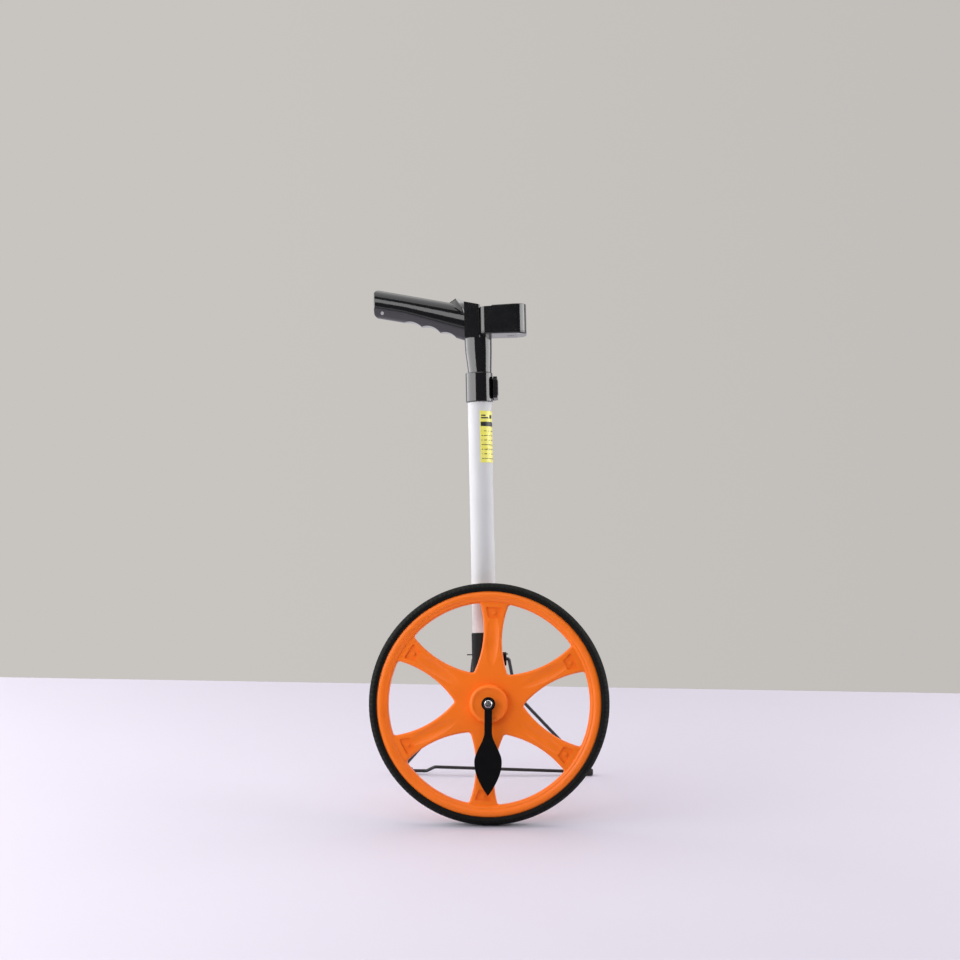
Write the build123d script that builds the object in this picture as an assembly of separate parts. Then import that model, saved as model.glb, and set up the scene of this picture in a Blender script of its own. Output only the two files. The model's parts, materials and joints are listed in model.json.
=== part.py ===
from build123d import *
import os
from math import cos, hypot, pi, radians, sin, sqrt, tan

# A surveyor's measuring wheel with a digital counter, standing on its wire stand.
# Millimetres. +X is the rolling direction, +Y runs from the wheel to the tube behind it, +Z is up.
# Everything is drawn with the wheel upright and the tube straight. Then what is on the tube is raked
# by RAKE about the axle, towards the user, and the whole is tipped back by LEAN so that it rests on
# the tyre and on the two feet of the stand. The origin is the tyre's contact with the ground.

# Pose on the ground
LEAN = 12.0
RAKE = 1.5
FOOT_REAR = 250.0
FOOT_RADIUS = 5.0

# Wheel: one turn is one metre
CIRCUMFERENCE = 1000.0
WHEEL_R = CIRCUMFERENCE / (2 * pi)
TYRE_THICK = 11.0
TYRE_HALF = 13.0
CROWN_R = 18.0
TONGUE_HALF = 4.0
TONGUE_DEPTH = 4.0
RIM_R = WHEEL_R - TYRE_THICK
RIM_INNER = 133.0
RIM_HALF = 12.5
RIM_EDGE = 10.5
RIM_ROUND = 5.0
WEB_HALF = 8.0
WEB_ROUND = 3.0
SPOKES = 6
SPOKE_START = 27.0
WAIST_AT = 90.0
WAIST_HALF = 12.2
FLANK_R = 131.0
GAP_CORNER = 4.0
HOLLOW_R = 22.0
HOLLOW_SWEEP = 385.0
HOLLOW_AT = 84.0
HOLLOW_DEPTH = 1.6
PANEL_DEPTH = 2.2
PEG_R = 2.4

# Hub, bearings and axle
HUB_R = 25.4
HUB_HALF = 19.0
HUB_ROUND = 4.0
CAP_R = 20.0
CAP_FACE = -18.0
CAP_DISH_R = 200.0
AXLE_R = 5.0
AXLE_FRONT = -28.5
AXLE_REAR = 68.0
BEARING_R = 13.0
BEARING_WIDTH = 8.0
BEARING_AT = 12.4
RACE_OUT = 10.8
RACE_IN = 7.15
CAGE_HALF = 0.5
CAGE_WIDTH = 5.0
BALLS = 9
SLEEVE_R = 7.0
MAGNET_IN = 16.0
MAGNET_OUT = 22.0
MAGNET_THICK = 3.0

# Pointer
POINTER_R = 9.1
POINTER_BACK = -21.6
POINTER_THICK = 2.4
POINTER_BOSS = 4.4
NECK_HALF = 4.9
LEAF_TOP = 36.0
LEAF_HALF = 18.0
LEAF_AT = 76.0
POINTER_LENGTH = 119.7
RUN_GAP = 0.06

# Tubes
TUBE_X = -5.8
TUBE_Y = 44.0
TUBE_R = 16.0
TUBE_WALL = 1.5
TUBE_BOTTOM = 196.0
TUBE_TOP = 580.0
INNER_R = 12.5
INNER_BOTTOM = 240.0
INNER_TOP = 650.0
INNER_WALL = 1.5
GROOVE_HALF = 1.5
GROOVE_DEPTH = 0.8
LABEL_LOW = 481.5
LABEL_HIGH = 551.5
LABEL_THICK = 0.3

# Bracket and stand
SLEEVE_OUT = 17.4
SLEEVE_BOTTOM = 191.0
BRACKET_TOP = 253.0
BRACKET_FRONT = 32.0
BRACKET_REAR = 56.0
BOSS_FRONT = 26.0
CHEEK_R = 19.0
PIVOT_Y = 66.0
PIVOT_Z = 218.0
LUG_X = 20.8
LUG_R = 9.0
WIRE_R = 2.3
ARM_X = 24.0
ARM_LOW_X = 32.0
ARM_LENGTH = 72.0
FOOT_X = 136.0
FOOT_INNER = 98.0
JOG_X = 86.0
JOG_RISE = 9.0
PIN_X = 14.0
PIN_R = 0.8
PIN_Z = 224.0

# Collar and clamp
COLLAR_R = 18.5
COLLAR_LOW = 564.0
COLLAR_HIGH = 604.0
BUSH_R = 14.44
PIN_DX = 16.5
PIN_DY = 22.0
CLAMP_Z = 585.0
LEVER_LOW = 569.0
LEVER_HIGH = 598.5
LEVER_IN = 19.2
LEVER_OUT = 24.5

# Handle, drawn from the tube's axis
NECK_BOTTOM = 604.3
GRIP_HALF = 16.0
BLOCK_HALF = 19.0
GRIP_END_ROUND = 2.0
GRIP_END_CURVE = 7.0
# Places along the grip: X, underside, top
GRIP_SECTIONS = ((-140.3, 683.4, 722.1), (-100.0, 675.6, 714.0), (-10.0, 646.6, 695.8))
BLOCK_LEFT = -17.6
BLOCK_RIGHT = 4.0
BLOCK_LOW = 651.0
BLOCK_HIGH = 700.0
BLOCK_FALL = 4.4
BLOCK_ROUND = 4.0
CORD_X = -129.0
CORD_Z = 688.0
CORD_R = 2.2
SCREW_SPOTS = ((-108, 700), (-64, 687), (-9, 688), (-5, 656))
# Finger hollows, each a circle's arc through its start, deepest point and end
FINGERS = (
    ((-100, 675.6), (-87.7, 675.3), (-76.4, 668.9)),
    ((-76.4, 668.9), (-64, 668.8), (-51.2, 660.2)),
    ((-51.2, 660.2), (-41, 660.0), (-29.5, 653)),
)

# Display housing
BOX_END = 66.0
BOX_HALF = 26.0
BOX_LOW = 654.5
BOX_HIGH = 692.8
FACE_TILT = 2.2
LEDGE_X = 20.5
LEDGE_DROP = 1.3
BOX_SEAM = 659.0
POST_TOP = 682.0
BOX_ROUND = 18.0
BOX_NEAR_ROUND = 7.0
# The neck, upwards: height, centre across, half width across, half width front to back
NECK_SECTIONS = (
    (NECK_BOTTOM, 1.25, 16.05, 16.5),
    (633.0, 0.1, 18.2, 17.2),
    (BOX_LOW, -0.3, 18.8, 17.8),
)
TOP_THICK = 5.0
SHELL = 2.5
LENS_X = 45.5
LENS_SIZE = (24.0, 38.0)
BUTTON_X = 27.0
BUTTON_R = 3.6
BUTTON_PITCH = 13.0


def cyl_x(radius, x0, x1, y, z):
    return Pos((x0 + x1) / 2, y, z) * Rot(0, 90, 0) * Cylinder(radius, x1 - x0)


def cyl_y(radius, y0, y1, x=0.0, z=WHEEL_R):
    return Pos(x, (y0 + y1) / 2, z) * Rot(90, 0, 0) * Cylinder(radius, y1 - y0)


def cyl_z(radius, z0, z1, x=TUBE_X, y=TUBE_Y):
    return Pos(x, y, (z0 + z1) / 2) * Cylinder(radius, z1 - z0)


def ring_y(outer, inner, y0, y1, x=0.0, z=WHEEL_R):
    return cyl_y(outer, y0, y1, x, z) - cyl_y(inner, y0 - 1, y1 + 1, x, z)


def ring_z(outer, inner, z0, z1, x=TUBE_X, y=TUBE_Y):
    return cyl_z(outer, z0, z1, x, y) - cyl_z(inner, z0 - 1, z1 + 1, x, y)


def block(x0, x1, y0, y1, z0, z1):
    size = (x1 - x0, y1 - y0, z1 - z0)
    return Pos((x0 + x1) / 2, (y0 + y1) / 2, (z0 + z1) / 2) * Box(*size)


def side_plate(face, half):
    """A profile drawn in X and Z about the tube's axis, thickened both ways along Y."""
    return Pos(TUBE_X, TUBE_Y, 0) * extrude(Plane.XZ * face, amount=half, both=True)


def try_fillet(shape, edges, radii):
    """Rounds the edges with the first radius that the geometry takes."""
    for radius in radii:
        try:
            rounded = fillet(edges, radius)
        except ValueError:
            continue
        if rounded.is_valid:
            return rounded
    return shape


def revolve_on_axle(face):
    """Turns a section, drawn as X = radius and Y = depth, about the axle."""
    return Pos(0, 0, WHEEL_R) * revolve(face, Axis.Y)


def tipped(shape):
    """Tips a shape back about the centre of the tyre's crown, so that the tyre stays on the ground."""
    return Pos(0, 0, CROWN_R) * Rot(-LEAN, 0, 0) * Pos(0, 0, -CROWN_R) * shape


def raked(shape):
    """Rakes a shape that belongs to the tube about the axle."""
    return Pos(0, 0, WHEEL_R) * Rot(0, -RAKE, 0) * Pos(0, 0, -WHEEL_R) * shape


def untipped(y, z):
    """The place in the upright drawing of a point in the standing object."""
    angle = radians(LEAN)
    rise = z - CROWN_R
    return y * cos(angle) - rise * sin(angle), y * sin(angle) + rise * cos(angle) + CROWN_R


# ---------------------------------------------------------------- wheel

def tyre():
    shoulder = WHEEL_R - CROWN_R + sqrt(CROWN_R**2 - TYRE_HALF**2)
    outline = [
        Line((RIM_R, -TYRE_HALF), (shoulder, -TYRE_HALF)),
        ThreePointArc((shoulder, -TYRE_HALF), (WHEEL_R, 0), (shoulder, TYRE_HALF)),
        Polyline(
            (shoulder, TYRE_HALF),
            (RIM_R, TYRE_HALF),
            (RIM_R, TONGUE_HALF),
            (RIM_R - TONGUE_DEPTH, TONGUE_HALF),
            (RIM_R - TONGUE_DEPTH, -TONGUE_HALF),
            (RIM_R, -TONGUE_HALF),
            (RIM_R, -TYRE_HALF),
        ),
    ]
    return revolve_on_axle(make_face(outline))


def rim_ring():
    """The rim: crowned faces, a rounded inner edge and the groove for the tyre's tongue."""
    inner_face = RIM_INNER + RIM_ROUND
    crown = (RIM_R + inner_face) / 2
    bend = RIM_ROUND * (1 - sqrt(0.5))
    half = [
        ThreePointArc((RIM_R, RIM_EDGE), (crown, RIM_HALF), (inner_face, RIM_EDGE)),
        ThreePointArc(
            (inner_face, RIM_EDGE),
            (RIM_INNER + bend, RIM_EDGE - bend),
            (RIM_INNER, RIM_EDGE - RIM_ROUND),
        ),
        Polyline((RIM_INNER, RIM_EDGE - RIM_ROUND), (RIM_INNER, 0), (RIM_R, 0), (RIM_R, RIM_EDGE)),
    ]
    section = make_face(half)
    section += mirror(section, Plane.XZ)
    groove = Pos(RIM_R, 0) * Rectangle(2 * TONGUE_DEPTH, 2 * TONGUE_HALF)
    return revolve_on_axle(section - groove)


def spoke_gap():
    """One opening: what the flank circles of two neighbouring spokes and the rim share."""
    reach = WAIST_HALF + FLANK_R
    pitch = 360 / SPOKES
    lower = Pos(WAIST_AT, reach) * Circle(FLANK_R)
    upper = Rot(0, 0, pitch) * Pos(WAIST_AT, -reach) * Circle(FLANK_R)
    gap = lower & upper & Circle(RIM_INNER)
    return fillet(gap.vertices(), GAP_CORNER)


def spoke_hollow():
    """The long shallow hollow down a spoke's face, pointed at both ends: part of a large ring."""
    height = HOLLOW_SWEEP + HOLLOW_R - HOLLOW_DEPTH
    return Pos(HOLLOW_AT, 0, height) * Rot(90, 0, 0) * Torus(HOLLOW_SWEEP, HOLLOW_R)


def spoke_panel():
    """The sunk panel at a spoke's rim end, with the peg left standing in it."""
    panel = make_face(Polyline((113, -7), (127, -11.5), (127, 11.5), (113, 7), (113, -7)))
    cut = extrude(fillet(panel.vertices(), 2), amount=PANEL_DEPTH, both=True)
    return cut - Pos(120, 0) * Cylinder(PEG_R, 2 * PANEL_DEPTH)


def wheel_body():
    web = Cylinder(RIM_INNER + 4, 2 * WEB_HALF)
    gap = spoke_gap()
    for k in range(SPOKES):
        turn = Rot(0, 0, SPOKE_START + k * 360 / SPOKES)
        web -= turn * extrude(gap, amount=2 * WEB_HALF, both=True)
    rims = web.edges().filter_by(lambda e: abs(abs(e.center().Z) - WEB_HALF) < 0.01)
    rims = [e for e in rims if e.center().length < RIM_INNER + 1 and e.length < 300]
    web = try_fillet(web, rims, (WEB_ROUND, 2.0, 1.0))
    recess = [spoke_hollow(), spoke_panel()]
    for k in range(SPOKES):
        turn = Rot(0, 0, SPOKE_START + k * 360 / SPOKES)
        for flip in (0, 180):
            face = Rot(flip, 0, 0) * Pos(0, 0, WEB_HALF)
            web -= [turn * face * cut for cut in recess]
    web = Pos(0, 0, WHEEL_R) * Rot(90, 0, 0) * web
    hub = cyl_y(HUB_R, -HUB_HALF, HUB_HALF)
    hub = try_fillet(hub, hub.edges().filter_by(GeomType.CIRCLE), (HUB_ROUND, 2.0))
    wheel = web + rim_ring() + hub
    bearing_in = BEARING_AT - BEARING_WIDTH / 2
    wheel -= cyl_y(BEARING_R, -HUB_HALF - 1, -bearing_in)
    wheel -= cyl_y(BEARING_R, bearing_in, HUB_HALF + 1)
    wheel -= cyl_y(SLEEVE_R + 3, -HUB_HALF, HUB_HALF)
    wheel -= cyl_y(CAP_R, -HUB_HALF - 1, -BEARING_AT - BEARING_WIDTH / 2)
    wheel -= ring_y(MAGNET_OUT, MAGNET_IN, HUB_HALF - MAGNET_THICK, HUB_HALF + 1)
    return wheel


def hub_cap():
    cap = ring_y(CAP_R, SLEEVE_R + 0.6, CAP_FACE, -BEARING_AT - BEARING_WIDTH / 2)
    dish_y = CAP_FACE - sqrt(CAP_DISH_R**2 - (CAP_R - 1) ** 2)
    return cap - Pos(0, dish_y, WHEEL_R) * Sphere(CAP_DISH_R)


def at_bearings(make):
    """A pair of the same thing, one in each bearing."""
    return Compound([make(-BEARING_AT), make(BEARING_AT)])


def outer_race(y):
    return ring_y(BEARING_R, RACE_OUT, y - BEARING_WIDTH / 2, y + BEARING_WIDTH / 2)


def inner_race(y):
    return ring_y(RACE_IN, AXLE_R, y - BEARING_WIDTH / 2, y + BEARING_WIDTH / 2)


def ball_places(y):
    """The centres of one bearing's balls, with X pointing out along the radius."""
    for k in range(BALLS):
        yield Pos(0, y, WHEEL_R) * Rot(0, k * 360 / BALLS, 0) * Pos((RACE_OUT + RACE_IN) / 2, 0, 0)


def ball_set(y):
    ball_r = (RACE_OUT - RACE_IN) / 2 - RUN_GAP
    return Compound([place * Sphere(ball_r) for place in ball_places(y)])


def ball_cage(y):
    """The ring between the balls, with a round pocket for each."""
    middle = (RACE_OUT + RACE_IN) / 2
    cage = ring_y(middle + CAGE_HALF, middle - CAGE_HALF, y - CAGE_WIDTH / 2, y + CAGE_WIDTH / 2)
    pocket_r = (RACE_OUT - RACE_IN) / 2
    for place in ball_places(y):
        cage -= place * Rot(0, 90, 0) * Cylinder(pocket_r, 4)
    return cage


def seal_pair(y):
    """The two rubber seals of one bearing."""
    edge = BEARING_WIDTH / 2 - 0.8
    near = ring_y(RACE_OUT, RACE_IN + 0.3, y - edge - 0.6, y - edge)
    far = ring_y(RACE_OUT, RACE_IN + 0.3, y + edge, y + edge + 0.6)
    return Compound([near, far])


def magnet_ring():
    return ring_y(MAGNET_OUT, MAGNET_IN, HUB_HALF - MAGNET_THICK, HUB_HALF)


# ---------------------------------------------------------------- axle and pointer

def axle():
    rod = cyl_y(AXLE_R, AXLE_FRONT, AXLE_REAR)
    ends = rod.edges().filter_by(GeomType.CIRCLE)
    rod = chamfer(ends, 0.8)
    return rod - ring_y(AXLE_R + 1, AXLE_R - 0.6, clip_front(), clip_front() + 1.0)


def clip_front():
    """The front face of the clip's groove, just ahead of the pointer's boss."""
    return POINTER_BACK - POINTER_BOSS - 1.2


def pointer_clip():
    ring = ring_y(AXLE_R + 2.4, AXLE_R - 0.6, clip_front(), clip_front() + 1.0)
    return ring - block(-2.5, 2.5, AXLE_FRONT, 0, WHEEL_R, WHEEL_R + 10)


def axle_spacers():
    """Front sleeve behind the pointer, tube between the bearings and sleeve against the bracket."""
    outer = BEARING_AT + BEARING_WIDTH / 2
    inner = BEARING_AT - BEARING_WIDTH / 2
    front = ring_y(SLEEVE_R, AXLE_R, POINTER_BACK + 0.3, -outer)
    middle = ring_y(SLEEVE_R, AXLE_R, -inner, inner)
    rear = ring_y(SLEEVE_R, AXLE_R, outer, BOSS_FRONT)
    return Compound([front, middle, rear])


def hex_bar(across, y0, y1):
    prism = extrude(RegularPolygon(across / 2, 6, major_radius=False), amount=y1 - y0)
    return Pos(0, y1, WHEEL_R) * Rot(90, 0, 0) * prism


def axle_nut():
    return hex_bar(16, BRACKET_REAR + 3.6, BRACKET_REAR + 10.6) - cyl_y(AXLE_R, 0, 80)


def axle_washer():
    return ring_y(10, AXLE_R, BRACKET_REAR + 2, BRACKET_REAR + 3.6)


def pointer():
    neck = (NECK_HALF, -LEAF_TOP)
    belly = (LEAF_HALF, -LEAF_AT)
    tip = (0, -POINTER_LENGTH)
    down = (0, -1)
    right = [
        Line((NECK_HALF, 0), neck),
        Spline(neck, belly, tangents=(down, down), tangent_scalars=(1.0, 1.0)),
        Spline(belly, tip, tangents=(down, (-0.75, -1)), tangent_scalars=(1.0, 1.0)),
    ]
    left = [mirror(edge, Plane.YZ) for edge in right]
    top = Line((-NECK_HALF, 0), (NECK_HALF, 0))
    leaf = make_face(right + left + [top])
    front = POINTER_BACK - POINTER_BOSS / 2 - POINTER_THICK / 2
    leaf = Pos(0, front + POINTER_THICK, WHEEL_R) * extrude(Plane.XZ * leaf, amount=POINTER_THICK)
    boss = cyl_y(POINTER_R, POINTER_BACK - POINTER_BOSS, POINTER_BACK)
    boss = fillet(boss.edges().filter_by(GeomType.CIRCLE), 0.8)
    return leaf + boss - cyl_y(AXLE_R + RUN_GAP, AXLE_FRONT, 0)


# ---------------------------------------------------------------- tubes and bracket

def outer_tube():
    return ring_z(TUBE_R, TUBE_R - TUBE_WALL, TUBE_BOTTOM, TUBE_TOP) - bracket_screws() - cross_pin()


def inner_tube():
    tube = ring_z(INNER_R, INNER_R - INNER_WALL, INNER_BOTTOM, INNER_TOP)
    groove = block(
        TUBE_X - GROOVE_HALF,
        TUBE_X + GROOVE_HALF,
        TUBE_Y + INNER_R - GROOVE_DEPTH,
        TUBE_Y + INNER_R + 1,
        INNER_BOTTOM - 1,
        NECK_BOTTOM,
    )
    return tube - groove


def tube_plug():
    """The nylon runner round the inner tube's lower end, with a bottom that closes the tube."""
    runner = ring_z(BUSH_R, INNER_R, INNER_BOTTOM, INNER_BOTTOM + 18)
    return runner + cyl_z(BUSH_R, INNER_BOTTOM - 2.5, INNER_BOTTOM)


def guide_bush():
    """The bush in the outer tube's mouth, with the key that stops the handle turning."""
    sleeve = ring_z(BUSH_R, INNER_R + RUN_GAP, TUBE_TOP - 36, TUBE_TOP)
    sleeve += ring_z(TUBE_R - 0.3, INNER_R + RUN_GAP, TUBE_TOP, TUBE_TOP + 3)
    key = block(
        TUBE_X - GROOVE_HALF + 0.3,
        TUBE_X + GROOVE_HALF - 0.3,
        TUBE_Y + INNER_R - GROOVE_DEPTH + 0.3,
        TUBE_Y + INNER_R + 0.5,
        TUBE_TOP - 36,
        TUBE_TOP + 3,
    )
    return sleeve + key


def tube_label():
    sheet = ring_z(TUBE_R + LABEL_THICK, TUBE_R, LABEL_LOW, LABEL_HIGH)
    return sheet & block(TUBE_X + 0.6, TUBE_X + 40, TUBE_Y - 40, TUBE_Y + 9, 0, 900)


def bracket_screws():
    return Compound([bracket_screw(PIVOT_Z + 13.5), bracket_screw(PIVOT_Z - 16)])


def bracket_screw(z):
    head = cyl_y(3.5, TUBE_Y + SLEEVE_OUT - 0.6, TUBE_Y + SLEEVE_OUT + 1.9, TUBE_X, z)
    shank = cyl_y(1.9, TUBE_Y + TUBE_R - 4, TUBE_Y + SLEEVE_OUT, TUBE_X, z)
    return head + shank


def bracket():
    """Moulded socket: tube sleeve above, two-sided cheek with the axle boss below, stand lug behind."""
    sleeve = cyl_z(SLEEVE_OUT, SLEEVE_BOTTOM, BRACKET_TOP)
    top = sleeve.edges().filter_by(GeomType.CIRCLE).sort_by(Axis.Z)[-1]
    sleeve = fillet(top, 1.5)
    cheek = cyl_y(CHEEK_R, BRACKET_FRONT, BRACKET_REAR)
    cheek += block(-CHEEK_R, CHEEK_R, BRACKET_FRONT, BRACKET_REAR, WHEEL_R, 206)
    cheek = try_fillet(cheek, cheek.edges().filter_by(Axis.Z), (4.0, 2.0))
    body = raked(sleeve) + cheek
    body += cyl_y(14, BOSS_FRONT, BRACKET_REAR + 2)
    lug = cyl_x(LUG_R, -LUG_X, LUG_X, PIVOT_Y, PIVOT_Z)
    lug += block(-LUG_X, LUG_X, TUBE_Y + 8, PIVOT_Y, PIVOT_Z - LUG_R, PIVOT_Z + LUG_R)
    body += lug
    body -= raked(cyl_z(TUBE_R, TUBE_BOTTOM, BRACKET_TOP + 1))
    body -= cyl_y(AXLE_R, 0, 80)
    body -= raked(cross_pin())
    for side in (-1, 1):
        low, high = sorted((side * (PIN_X - 0.5), side * (LUG_X + 1)))
        body -= cyl_x(WIRE_R + RUN_GAP, low, high, PIVOT_Y, PIVOT_Z)
    return body - raked(bracket_screws())


def cross_pin():
    """The thin wire pin through the socket and the tube."""
    return cyl_x(PIN_R, TUBE_X - 24, TUBE_X + 31, TUBE_Y, PIN_Z)


def sensor_case():
    """The counter's pick-up box on the bracket, close behind the ring of magnets."""
    case = block(-9, 9, HUB_HALF + 2, BRACKET_FRONT, WHEEL_R + 14.5, WHEEL_R + 29)
    case = try_fillet(case, case.edges().filter_by(Axis.Y), (2.0, 1.0))
    return case - block(-7, 7, HUB_HALF + 3.5, BRACKET_FRONT + 1, WHEEL_R + 16.5, WHEEL_R + 27)


def sensor_board():
    board = block(-6.5, 6.5, HUB_HALF + 6, HUB_HALF + 7.6, WHEEL_R + 17, WHEEL_R + 26.5)
    return board + block(-2, 2, HUB_HALF + 3.5, HUB_HALF + 6, WHEEL_R + 18, WHEEL_R + 22)


# ---------------------------------------------------------------- stand

def stand_frame():
    """The plane of the stand: X across, Y down the legs, from the pivot towards the feet."""
    foot_y, foot_z = untipped(FOOT_REAR, FOOT_RADIUS)
    leg = (foot_y - PIVOT_Y, foot_z - PIVOT_Z)
    length = hypot(*leg)
    normal = Vector(0, leg[1], -leg[0])
    return Plane(origin=(0, PIVOT_Y, PIVOT_Z), x_dir=(1, 0, 0), z_dir=normal * -1), length


def stand_wire():
    plane, length = stand_frame()
    route = [
        (PIN_X, 0),
        (ARM_X, 0),
        (ARM_LOW_X, ARM_LENGTH),
        (FOOT_X, length),
        (-JOG_X, length - JOG_RISE),
        (-FOOT_INNER, length),
        (-FOOT_X, length),
        (-ARM_LOW_X, ARM_LENGTH),
        (-ARM_X, 0),
        (-PIN_X, 0),
    ]
    bends = [3, 20, 6, 6, 6, 6, 20, 3]
    path = plane * FilletPolyline(*route, radius=bends)
    section = Plane(origin=path @ 0, z_dir=path % 0) * Circle(WIRE_R)
    return sweep(section, path)


def stand_foot(side):
    plane, length = stand_frame()
    cap = Pos(side * 128.5, length, 0) * Rot(0, 90, 0) * Cylinder(FOOT_RADIUS, 22)
    cap = fillet(cap.edges().filter_by(GeomType.CIRCLE), 2.5)
    return plane * cap


def stand_feet():
    wire = stand_wire()
    return Compound([stand_foot(1) - wire, stand_foot(-1) - wire])


# ---------------------------------------------------------------- collar and clamp

def collar():
    body = cyl_z(COLLAR_R, COLLAR_LOW, COLLAR_HIGH)
    body = fillet(body.edges().filter_by(GeomType.CIRCLE), 1.2)
    ears = block(TUBE_X - 9, TUBE_X + 10.8, TUBE_Y + 10, TUBE_Y + 27, CLAMP_Z - 14, CLAMP_Z + 14)
    ears = try_fillet(ears, ears.edges().filter_by(Axis.X), (3.0, 1.0))
    body += ears
    body -= cyl_z(TUBE_R, COLLAR_LOW - 1, TUBE_TOP + 3)
    body -= cyl_z(INNER_R + 0.5, TUBE_TOP, COLLAR_HIGH + 1)
    body -= block(TUBE_X - 1, TUBE_X + 1, TUBE_Y, TUBE_Y + 30, COLLAR_LOW - 1, COLLAR_HIGH + 1)
    return body - cyl_x(2.5, TUBE_X - 20, TUBE_X + 20, TUBE_Y + PIN_DY, CLAMP_Z)


def clamp_bolt():
    """The bolt through both ears, ending in an eye for the lever's pin."""
    shank = cyl_x(2.5, TUBE_X - 13, TUBE_X + PIN_DX - 2, TUBE_Y + PIN_DY, CLAMP_Z)
    eye = cyl_z(4.0, CLAMP_Z - 5, CLAMP_Z + 5, TUBE_X + PIN_DX, TUBE_Y + PIN_DY)
    return shank + eye - cyl_z(2.0, 0, 900, TUBE_X + PIN_DX, TUBE_Y + PIN_DY)


def clamp_nut():
    prism = extrude(RegularPolygon(4, 6, major_radius=False), amount=4)
    nut = Pos(TUBE_X - 13, TUBE_Y + PIN_DY, CLAMP_Z) * Rot(0, 90, 0) * prism
    return nut - cyl_x(2.5, TUBE_X - 20, TUBE_X, TUBE_Y + PIN_DY, CLAMP_Z)


def lever_pin():
    return cyl_z(2.0, LEVER_LOW, LEVER_HIGH, TUBE_X + PIN_DX, TUBE_Y + PIN_DY)


def clamp_lever():
    """Cam hub on the pin, and the ribbed thumb plate that lies along the collar's side."""
    x = TUBE_X + PIN_DX
    y = TUBE_Y + PIN_DY
    hub = cyl_z(5.3, LEVER_LOW, LEVER_HIGH, x, y)
    arm = block(TUBE_X + LEVER_IN, TUBE_X + LEVER_OUT, TUBE_Y - 12, y, LEVER_LOW, LEVER_HIGH)
    front = arm.edges().filter_by(Axis.X).group_by(Axis.Y)[0]
    arm = try_fillet(arm, front, (5.0, 2.0))
    lever = hub + arm
    for k in range(5):
        rib_y = TUBE_Y - 9 + k * 4
        lever += cyl_z(1.0, LEVER_LOW + 5, LEVER_HIGH - 5, TUBE_X + LEVER_OUT, rib_y)
    lever -= cyl_z(5.8, CLAMP_Z - 5.5, CLAMP_Z + 5.5, x, y)
    return lever - cyl_z(2.0 + RUN_GAP, 0, 900, x, y)


# ---------------------------------------------------------------- handle

def grip_section(x, low, high):
    """The grip's oval section at one place along it."""
    place = Plane(origin=(x, 0, (low + high) / 2), x_dir=(0, 1, 0), z_dir=(1, 0, 0))
    return place * Ellipse(GRIP_HALF, (high - low) / 2)


def grip_outline():
    """The grip seen from the side, with the rear corners rounded."""
    lows = [(x, low) for x, low, high in GRIP_SECTIONS]
    highs = [(x, high) for x, low, high in reversed(GRIP_SECTIONS)]
    outline = make_face(Polyline(*lows, *highs, lows[0]))
    return fillet(outline.vertices().sort_by(Axis.X)[:2], GRIP_END_CURVE)


def grip_bar():
    """The grip: an oval bar, deeper towards the head, with three finger hollows underneath."""
    rear, middle, front = [grip_section(*section) for section in GRIP_SECTIONS]
    bar = loft([rear, middle], ruled=True) + loft([middle, front], ruled=True)
    end = bar.faces().sort_by(Axis.X)[0]
    bar = try_fillet(bar, end.edges(), (GRIP_END_ROUND, 1.0))
    bar = bar & Pos(-TUBE_X, -TUBE_Y, 0) * side_plate(grip_outline(), GRIP_HALF + 1)
    for start, deepest, stop in FINGERS:
        arc = ThreePointArc(start, deepest, stop)
        under = Polyline(stop, (stop[0], BLOCK_LOW - 20), (start[0], BLOCK_LOW - 20), start)
        bar -= extrude(Plane.XZ * make_face([arc, under]), amount=2 * GRIP_HALF, both=True)
    return Pos(TUBE_X, TUBE_Y, 0) * bar


def gusset_section(x, corners):
    """One cross section of the wedge, given by the corners of its back half from the ridge down."""
    near = [(-y, z) for y, z in reversed(corners)]
    route = [(x, y, z) for y, z in corners + near]
    return make_face(Polyline(*route, route[0]))


def head_gusset():
    """The flared wedge on top, where the grip runs into the head."""
    toe = gusset_section(-38.0, [(1.5, 701.4), (1.5, 700.9), (8.0, 694.0)])
    peak = gusset_section(-29.5, [(1.5, 707.0), (1.5, 706.0), (13.0, 693.0)])
    root = gusset_section(BLOCK_LEFT, [(18.0, 700.5), (18.0, 688.3), (18.0, 684.0)])
    wedge = loft([toe, peak], ruled=True) + loft([peak, root], ruled=True)
    return Pos(TUBE_X, TUBE_Y, 0) * wedge


def head_block():
    """The flat-sided block between the grip and the display."""
    outline = make_face(Polyline(
        (BLOCK_LEFT, BLOCK_HIGH),
        (BLOCK_LEFT, BLOCK_LOW),
        (BLOCK_RIGHT, BLOCK_LOW),
        (BLOCK_RIGHT, BLOCK_HIGH - BLOCK_FALL),
        (BLOCK_LEFT, BLOCK_HIGH),
    ))
    head = side_plate(outline, BLOCK_HALF)
    uprights = head.edges().filter_by(Axis.Z).group_by(Axis.X)[-1]
    return try_fillet(head, uprights, (BLOCK_ROUND, 3.0))


def neck():
    """The tapered round neck that holds the inner tube."""
    foot, waist, top = [Pos(x, 0, z) * Ellipse(a, b) for z, x, a, b in NECK_SECTIONS]
    body = loft([foot, waist], ruled=True) + loft([waist, top], ruled=True)
    return Pos(TUBE_X, TUBE_Y, 0) * body


def handle_screws():
    """Four screws from the back that hold the two halves of the handle together."""
    return Compound([handle_screw(x, z) for x, z in SCREW_SPOTS])


def handle_screw(x, z):
    head = cyl_y(3.0, TUBE_Y + 10, TUBE_Y + 12.5, TUBE_X + x, z)
    return head + cyl_y(1.5, TUBE_Y - 9, TUBE_Y + 10, TUBE_X + x, z)


def handle_body():
    return grip_bar() + head_gusset() + head_block() + neck()


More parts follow.
